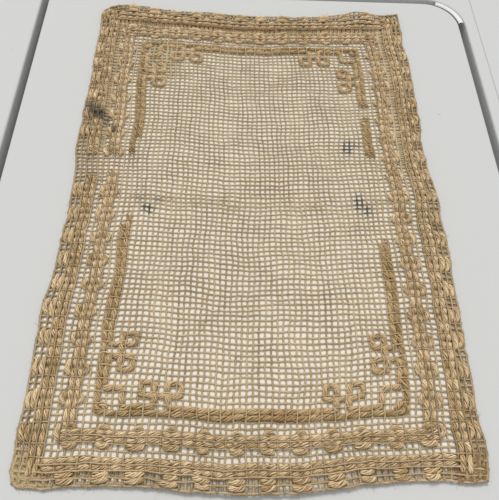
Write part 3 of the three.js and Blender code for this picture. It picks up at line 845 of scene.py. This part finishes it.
def add_thread(strands, family, number, start, end):
    """One thread of the net between two places, lifted where it ties yarn down."""
    length = ALONG if family == "along" else ACROSS
    ties = np.array(TIES[family].get(number, ())).reshape(-1, 2)
    near_ties = (ties[:, :1] + TIE_STATIONS).ravel()
    s = np.concatenate([np.arange(start, end + 0.1, THREAD_STEP), near_ties])
    s = np.unique(np.round(s / STEP) * STEP)
    s = s[(s >= start) & (s <= end)]
    line = np.full(len(s), float(number))
    u, v = (line, s) if family == "along" else (s, line)
    weave = np.cos(math.pi * (s + number)) * (1 if family == "along" else -1)
    lift = row_edge_rise(family, number, s)
    z = underside(u, v) + hem_rise(u, v) + THREAD_HEIGHT + THREAD_WEAVE * weave + lift
    thin = 1 - (1 - ROW_EDGE_THIN) * np.minimum(lift, 1)
    for at, top in ties:
        near = np.cos(np.clip(abs(s - at) / TIE_SPAN, 0, 1) * math.pi / 2) ** 1.6
        z = np.maximum(z, z + (top - z) * near)
        thin = np.minimum(thin, 1 - (1 - TIE_THIN) * near)
    # A thread's tone is random, plus the painted light of its family
    tone = rng.uniform(-0.35, 0.35) + THREAD_PAINTED_LIGHT[family]
    knots = np.arange(0, length + 8, TONE_CHANGE_HOLES)
    tone = tone + 0.25 * np.interp(s, knots, rng.standard_normal(len(knots)))
    patchy = 0.14 + 0.14 * np.sin(0.43 * u + 1.0) + 0.1 * np.sin(1.1 * u)
    bunched = patchy * np.exp(-((v - CROSS_FOLD[0]) / 1.5) ** 2)
    swell = 1 + CROSSING_SWELL * abs(np.cos(math.pi * s)) + bunched
    swell = swell + THREAD_UNEVEN * rng.standard_normal(len(s)).clip(-2, 2)
    radii = THREAD_RADIUS[family] * thin * swell * snug(u, v)
    stretches = [np.stack([u, v, z, radii, tone], -1)]
    if start == 0:
        stretches.insert(0, folded_end(family, number, 0, tone[0]))
    if end == length:
        stretches.append(folded_end(family, number, length, tone[-1])[::-1])
    u, v, z, radii, tone = np.concatenate(stretches).T
    strands.lay(u, v, z, radii, THREAD_SIDES, tone, THREAD_FLAT, band_shade_tint(u, v))


def add_hem_threads(strands, family, edge, inward, start, end):
    """The threads that run along a hem in its folded layer, under the net."""
    ragged = RAGGED_BACK if family == "across" and edge > 0 else ()
    s = np.arange(start, end + 0.1, 1.0)
    knots = np.arange(0, 115, 7)
    filled = hem_fill(family, edge, s)
    for step in (*range(HEM_HOLES), *ragged):
        drift = 0.12 * np.interp(s, knots, rng.standard_normal(len(knots)))
        line = edge + inward * (step + 0.07 + 0.42 * filled + 1.2 * drift)
        u, v = (line, s) if family == "along" else (s, line)
        z = underside(u, v) + UNDER_HEIGHT
        radii = HEM_RADIUS * (1 + 0.6 * filled) * hem_wear(u, v)
        radii = radii * (1 + 0.15 * rng.standard_normal(len(s)).clip(-2, 1.5))
        brown = (0.9 if edge > 0 else 0.1) * filled
        tone = rng.uniform(-0.1, 0.5) - brown
        strands.lay(u, v, z, radii, HEM_SIDES, tone, HEM_FLAT, 0.3 + 0.5 * brown)


def add_corner_layers(strands, corner_u, corner_v):
    """More of the folded cloth where two hems lie over each other."""
    pale = corner_u == 0 and corner_v == 0
    for family, edge, other in (("along", corner_u, corner_v), ("across", corner_v, corner_u)):
        s = other + (1 if other == 0 else -1) * np.arange(0.2, 4.3, 0.5)
        inward = 1 if edge == 0 else -1
        for step in range(5):
            line = edge + inward * (step * 0.95 + 0.25 + 0.1 * rng.standard_normal(len(s)))
            u, v = (line, s) if family == "along" else (s, line)
            z = underside(u, v) + CORNER_HEIGHT
            radii = np.full(len(s), CORNER_RADIUS)
            tone = rng.uniform(-1.3, -0.5) + 1.2 * pale
            strands.lay(u, v, z, radii, HEM_SIDES, tone, CORNER_FLAT, 0.3 if pale else 0.9)


def add_edge_hairs(strands, start, end, edges, count):
    """Fine fibres that stand out from the mat's edges and lie on the table."""
    for _ in range(count):
        side = edges[rng.integers(len(edges))]
        along_side = side in ("left", "right")
        at = rng.uniform(start, end) if along_side else rng.uniform(0.5, ACROSS - 0.5)
        root = on_side(side, at, rng.uniform(-0.1, 0.6))
        u, v = root
        x, y = place(u, v)
        aim = np.array(OUTWARDS[side]) * rng.uniform(0.2, 1) + rng.normal(0, 0.8, 3) * (1, 1, 0)
        aim /= np.linalg.norm(aim)
        length = LONGEST_HAIR[side] * rng.uniform(0.3, 1) ** 1.5
        bend = rng.normal(0, 0.5, 3) * length * (1, 1, 0)
        foot = np.array([x, y, underside(u, v) + 1.6])
        add_fibre(strands, HAIR, root, foot, aim * length, bend)


def net_half(at_back):
    """The threads of the front or the back half of the net, and its hem."""
    strands = Strands()
    fold = CROSS_FOLD[0]
    start, end = (fold, ALONG) if at_back else (0, fold)
    short_side, edge, inward = ("back", ALONG, -1) if at_back else ("front", 0, 1)
    for number in range(ACROSS + 1):
        add_thread(strands, "along", number, start, end)
    for number in range(fold, ALONG + 1) if at_back else range(fold):
        add_thread(strands, "across", number, 0, ACROSS)
    first, last = max(start, HEM_ENDS), min(end, ALONG - HEM_ENDS)
    add_hem_threads(strands, "along", 0, 1, first, last)
    add_hem_threads(strands, "along", ACROSS, -1, first, last)
    for corner_u in (0, ACROSS):
        add_corner_layers(strands, corner_u, edge)
    add_edge_hairs(strands, start, end, ("left", "right", short_side), HAIRS[short_side])
    add_hem_threads(strands, "across", edge, inward, HEM_ENDS, ACROSS - HEM_ENDS)
    return strands


# Materials
STREAK_STRETCH = (0.28, 7.0, 1.0)
MOTTLE_SCALE = 38.0
TONE_SHARE = 0.42
STREAK_SHARE = 1.7
MOTTLE_SHARE = 0.9
# Brown for real marks, and for painted shade
BROWNED_AND_SHADED = (0.62, 0.47, 0.33, 1)
STAINED = (0.07, 0.056, 0.038, 1)


def weathered_fibre_with_painted_light():
    """A node group for all the strands: streaks along them, mottling and marks, with the painted shade
    and painted light that the strands carry in their brown and tone.
    """
    group = bpy.data.node_groups.new("weathered_fibre_with_painted_light", "ShaderNodeTree")
    sockets = (
        ("Dark", "INPUT", "NodeSocketColor"),
        ("Light", "INPUT", "NodeSocketColor"),
        ("Colour", "OUTPUT", "NodeSocketColor"),
        ("Roughness", "OUTPUT", "NodeSocketFloat"),
        ("Height", "OUTPUT", "NodeSocketFloat"),
    )
    for name, in_out, kind in sockets:
        group.interface.new_socket(name=name, in_out=in_out, socket_type=kind)

    def node(kind, **settings):
        made = group.nodes.new(kind)
        for key, value in settings.items():
            setattr(made, key, value)
        return made

    def fill(socket, value):
        if isinstance(value, (int, float, tuple)):
            socket.default_value = value
        else:
            group.links.new(value, socket)

    def maths(operation, a, b, clamp=False):
        made = node("ShaderNodeMath", operation=operation, use_clamp=clamp)
        fill(made.inputs[0], a)
        fill(made.inputs[1], b)
        return made.outputs[0]

    def noise(vector, scale, detail):
        made = node("ShaderNodeTexNoise")
        fill(made.inputs["Vector"], vector)
        fill(made.inputs["Scale"], scale)
        fill(made.inputs["Detail"], detail)
        return made.outputs[0]

    def mix(factor, first, second, blend="MIX"):
        made = node("ShaderNodeMix", data_type="RGBA", blend_type=blend)
        fill(made.inputs["Factor"], factor)
        fill(made.inputs[6], first)
        fill(made.inputs[7], second)
        return made.outputs[2]

    given = node("NodeGroupInput")
    result = node("NodeGroupOutput")
    stretch = node("ShaderNodeMapping")
    fill(stretch.inputs["Vector"], node("ShaderNodeUVMap", uv_map="strand").outputs[0])
    fill(stretch.inputs["Scale"], STREAK_STRETCH)
    streaks = noise(stretch.outputs[0], 1.0, 3.0)
    mottle = noise(node("ShaderNodeTexCoord").outputs["Object"], MOTTLE_SCALE, 4.0)
    wear_and_painted_light = node("ShaderNodeSeparateXYZ")
    fill(wear_and_painted_light.inputs[0], node("ShaderNodeAttribute", attribute_name="wear_and_painted_light").outputs["Vector"])
    grey, brown, tone = wear_and_painted_light.outputs

    own_tone = maths("MULTIPLY", tone, TONE_SHARE)
    streak = maths("MULTIPLY", maths("SUBTRACT", streaks, 0.5), STREAK_SHARE)
    patch = maths("MULTIPLY", maths("SUBTRACT", mottle, 0.5), MOTTLE_SHARE)
    lightness = maths("ADD", maths("ADD", own_tone, streak), maths("ADD", patch, 0.5), clamp=True)
    colour = mix(lightness, given.outputs["Dark"], given.outputs["Light"])
    # Brown darkens real marks and also paints shade: the back band's shadow, ties, dimples and the net
    # among the yarn
    browned_and_shaded = maths("MULTIPLY", brown, maths("ADD", mottle, 0.45), clamp=True)
    colour = mix(browned_and_shaded, colour, BROWNED_AND_SHADED, blend="MULTIPLY")
    uneven = maths("MULTIPLY", maths("SUBTRACT", streaks, 0.4), 5.0)
    stained = maths("MULTIPLY", grey, maths("ADD", uneven, 0.5), clamp=True)
    fill(result.inputs["Colour"], mix(stained, colour, STAINED))
    fill(result.inputs["Roughness"], maths("ADD", maths("MULTIPLY", streaks, 0.4), 0.4))
    fill(result.inputs["Height"], streaks)
    return group


def fibre_material(name, group, dark, light, bump):
    """A matt fibre between a dark and a light colour, with fine relief."""
    material = bpy.data.materials.new(name)
    material.use_nodes = True
    nodes, links = material.node_tree.nodes, material.node_tree.links
    shader = nodes["Principled BSDF"]
    shader.inputs["Specular IOR Level"].default_value = 0.3
    shader.inputs["Sheen Weight"].default_value = 0.05
    fibre = nodes.new("ShaderNodeGroup")
    fibre.node_tree = group
    fibre.inputs["Dark"].default_value = (*dark, 1)
    fibre.inputs["Light"].default_value = (*light, 1)
    relief = nodes.new("ShaderNodeBump")
    relief.inputs["Strength"].default_value = bump
    relief.inputs["Distance"].default_value = 0.25 * MM
    links.new(fibre.outputs["Colour"], shader.inputs["Base Color"])
    links.new(fibre.outputs["Roughness"], shader.inputs["Roughness"])
    links.new(fibre.outputs["Height"], relief.inputs["Height"])
    links.new(relief.outputs["Normal"], shader.inputs["Normal"])
    return material


def plain_material(name, colour, roughness, specular=0.5):
    material = bpy.data.materials.new(name)
    material.use_nodes = True
    shader = material.node_tree.nodes["Principled BSDF"]
    shader.inputs["Base Color"].default_value = (*colour, 1)
    shader.inputs["Roughness"].default_value = roughness
    shader.inputs["Specular IOR Level"].default_value = specular
    return material


# The mat
fibre = weathered_fibre_with_painted_light()
net_thread = fibre_material("net_thread", fibre, (0.29, 0.215, 0.105), (0.65, 0.525, 0.33), 0.3)
light_yarn = fibre_material("light_yarn", fibre, (0.33, 0.21, 0.07), (0.84, 0.65, 0.41), 0.6)
dark_yarn = fibre_material("dark_yarn", fibre, (0.29, 0.185, 0.062), (0.64, 0.465, 0.265), 0.6)

outer_end_yarn = outer_band(OUTER_ENDS, thick=1.06, half=1.25).mesh("outer_end_yarn", light_yarn)
outer_side_yarn = outer_band(OUTER_SIDES, thick=0.94, half=1.45).mesh("outer_side_yarn", light_yarn)
middle_yarn = middle_band().mesh("middle_yarn", light_yarn)
frame_yarn = dark_frame().mesh("frame_yarn", dark_yarn)
net_front = net_half(False).mesh("net_front", net_thread)
net_back = net_half(True).mesh("net_back", net_thread)

middle_nodes = [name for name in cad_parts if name.startswith("middle_band_")]
dark_nodes = [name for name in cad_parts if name.startswith(("bar_", "fret_", "curls_"))]
side_nodes = ["outer_band_left_front", "outer_band_left_back", "outer_band_right"]
pieces = (
    # piece, nodes that it replaces, slot
    (outer_end_yarn, ["outer_band_front", "outer_band_back"], "light_yarn"),
    (outer_side_yarn, side_nodes, "light_yarn"),
    (middle_yarn, middle_nodes, "light_yarn"),
    (frame_yarn, dark_nodes, "dark_yarn"),
    (net_front, ["net_ground"], "net_thread"),
    (net_back, ["net_ground"], "net_thread"),
)
for piece, cad_nodes, slot in pieces:
    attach(piece, "root")
    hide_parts(*cad_nodes)


# The table and the light
# The lid that the mat lies on, in millimetres: its sides, its back edge, the
# radius of its back corners and the joint round it
LID = {
    "left": -208,
    "right": 213,
    "back": 254,
    "front": -2500,
    "corners": (8, 34),
    "joint": 7,
    "deep": 14,
}
FAR = 2500
# Rims as steps out from the flat top and down
LID_RIM = ((-2.2, 0.0), (-1.0, -0.3), (-0.3, -1.0), (0.0, -2.0), (0.0, -LID["deep"]))
FIXED_RIM = ((FAR, 0.0), (2.2, 0.0), (1.0, -0.3), (0.3, -1.0), (0.0, -2.0), (0.0, -LID["deep"]))
TRIM = {"from": 6, "to": 66, "out": 3.4, "half": 2.6, "high": 1.4, "sunk": 0.6}
SEAM = {"left": 231, "right": 231.9, "front": -600, "back": 700}
MARK_HEIGHT = 0.05
# Two specks of dirt, each by its corners
SPECKS = (
    ((-230.7, 166.5), (-229.6, 165.3), (-229.2, 165.9)),
    ((169.7, 96.2), (171.5, 95.6), (173.4, 96.0), (171.4, 96.2)),
)


def lid_outline(grow):
    """The lid's outline, from its front left round the back to its front right."""
    left, right = LID["left"] - grow, LID["right"] + grow
    back = LID["back"] + grow
    a, b = (radius + grow for radius in LID["corners"])
    turn = np.linspace(0, math.pi / 2, 15)
    first = [(left + a - a * math.cos(t), back - a + a * math.sin(t)) for t in turn]
    second = [(right - b + b * math.sin(t), back - b + b * math.cos(t)) for t in turn]
    return [(left, LID["front"])] + first + second + [(right, LID["front"])]


def mesh_piece(name, points, faces, material):
    mesh = bpy.data.meshes.new(name)
    mesh.from_pydata([tuple(MM * value for value in point) for point in points], [], faces)
    mesh.materials.append(material)
    piece = bpy.data.objects.new(name, mesh)
    bpy.context.scene.collection.objects.link(piece)
    return piece


def grid_faces(rows, columns):
    """Quads between rows of points, each row as long as the next."""
    firsts = [row * columns + k for row in range(rows - 1) for k in range(columns - 1)]
    return [(a, a + columns, a + columns + 1, a + 1) for a in firsts]


def rim_points(rim, grow=0):
    return [(x, y, z) for out, z in rim for x, y in lid_outline(out + grow)]


def lid_top(material):
    """The lid's flat top with a rounded rim that goes down into the joint."""
    points = rim_points(LID_RIM)
    count = len(points) // len(LID_RIM)
    faces = [tuple(range(count))[::-1]] + grid_faces(len(LID_RIM), count)
    return mesh_piece("table", points, faces, material)


def surround(material):
    """The fixed top round the lid, with its own rounded rim."""
    points = rim_points(FIXED_RIM, LID["joint"])
    faces = grid_faces(len(FIXED_RIM), len(points) // len(FIXED_RIM))
    return mesh_piece("surround", points, faces, material)


def corner_trim(material):
    """A lip in the joint at the lid's back right corner, painted paler than the enamel: a painted
    highlight on a real lip.
    """
    radius = LID["corners"][1]
    middle = (LID["right"] - radius, LID["back"] - radius)
    points = []
    across = np.linspace(0, math.pi, 7)
    turns = np.radians(np.linspace(TRIM["from"], TRIM["to"], 17))
    for turn in turns:
        for a in across:
            reach = radius + TRIM["out"] + TRIM["half"] * math.cos(a)
            x = middle[0] + reach * math.cos(turn)
            y = middle[1] + reach * math.sin(turn)
            points.append((x, y, TRIM["high"] * math.sin(a) - TRIM["sunk"]))
    return mesh_piece("corner_trim", points, grid_faces(len(turns), len(across)), material)


def flat_strip(name, left, right, front, back, z, material):
    corners = [(left, front, z), (right, front, z), (right, back, z), (left, back, z)]
    return mesh_piece(name, corners, [(0, 1, 2, 3)], material)


def specks_of_dirt(material):
    points, faces = [], []
    for corners in SPECKS:
        faces.append(tuple(range(len(points), len(points) + len(corners))))
        points += [(x, y, MARK_HEIGHT) for x, y in corners]
    return mesh_piece("specks", points, faces, material)


def patch_under_mat(name, inset, z, material):
    """A patch of the enamel inside the mat's outline, painted brighter and warmer as painted light from
    light through and off the net.
    """
    run_u = np.linspace(inset, ACROSS - inset, ACROSS + 1)
    run_v = np.linspace(inset, ALONG - inset, ALONG + 1)[1:-1]
    sides = [
        (run_u, np.full(len(run_u), inset)),
        (np.full(len(run_v), ACROSS - inset), run_v),
        (run_u[::-1], np.full(len(run_u), ALONG - inset)),
        (np.full(len(run_v), inset), run_v[::-1]),
    ]
    x, y = place(np.concatenate([u for u, v in sides]), np.concatenate([v for u, v in sides]))
    points = [(a, b, z) for a, b in zip(x.tolist(), y.tolist())]
    return mesh_piece(name, points, [tuple(range(len(points)))], material)


enamel = plain_material("pale_enamel", (0.605, 0.61, 0.605), 0.8, specular=0.2)
# Painted light: the enamel under the net and under the hem is painted brighter and warmer than the rest
# of the lid
painted_warm_light = plain_material("enamel_painted_warm_light", (0.86, 0.81, 0.73), 0.9, specular=0.1)
painted_light_under_hem = plain_material("enamel_painted_light_under_hem", (0.97, 0.94, 0.89), 0.9)
shade = plain_material("joint_shade", (0.2, 0.2, 0.2), 0.8)
# The corner lip is painted paler than the enamel, as a painted highlight
trim_painted_highlight = plain_material("trim_with_painted_highlight", (0.8, 0.8, 0.79), 0.25)
seam_shade = plain_material("seam_shade", (0.43, 0.43, 0.42), 0.9)
speck_shade = plain_material("speck_shade", (0.25, 0.25, 0.23), 0.9)

table = lid_top(enamel)
stage_pieces = (
    table,
    patch_under_mat("patch_under_hem", 0.45, 0.01, painted_light_under_hem),
    patch_under_mat("patch_under_net", 4.3, 0.015, painted_warm_light),
    surround(enamel),
    flat_strip("joint_floor", -FAR, FAR, -FAR, FAR, -LID["deep"], shade),
    corner_trim(trim_painted_highlight),
    flat_strip("seam", **SEAM, z=MARK_HEIGHT, material=seam_shade),
    specks_of_dirt(speck_shade),
)


def sun_light(name, aim_from, strength, spread, colour):
    light = bpy.data.lights.new(name, "SUN")
    light.energy = strength
    light.angle = math.radians(spread)
    light.color = colour
    lamp = bpy.data.objects.new(name, light)
    lamp.location = aim_from
    lamp.rotation_mode = "QUATERNION"
    lamp.rotation_quaternion = (-Vector(aim_from)).to_track_quat("-Z", "Y")
    bpy.context.scene.collection.objects.link(lamp)


sun_light("window", (-0.12, 0.85, 1.25), strength=1.75, spread=22, colour=(1.0, 0.985, 0.965))
world = bpy.data.worlds.new("room")
world.use_nodes = True
background = world.node_tree.nodes["Background"]
background.inputs["Color"].default_value = (1.0, 0.995, 0.985, 1)
background.inputs["Strength"].default_value = 0.63
bpy.context.scene.world = world
bpy.context.scene.view_settings.view_transform = "Standard"

# The camera, solved from the counted holes of the net
CAMERA_AT = Vector((-15.95, -275.04, 385.31)) * MM
LOOKS_AT = Vector((-2.54, -52.20, 2.5)) * MM
CAMERA_ROLL = math.radians(3.953)
view = bpy.data.cameras.new("view")
view.sensor_width = 36
view.lens = 41.296
view.clip_start = 0.01
camera = bpy.data.objects.new("camera", view)
camera.location = CAMERA_AT
camera.rotation_mode = "QUATERNION"
level = (LOOKS_AT - CAMERA_AT).to_track_quat("-Z", "Y")
camera.rotation_quaternion = level @ Quaternion((0, 0, 1), CAMERA_ROLL)
bpy.context.scene.collection.objects.link(camera)
bpy.context.scene.camera = camera
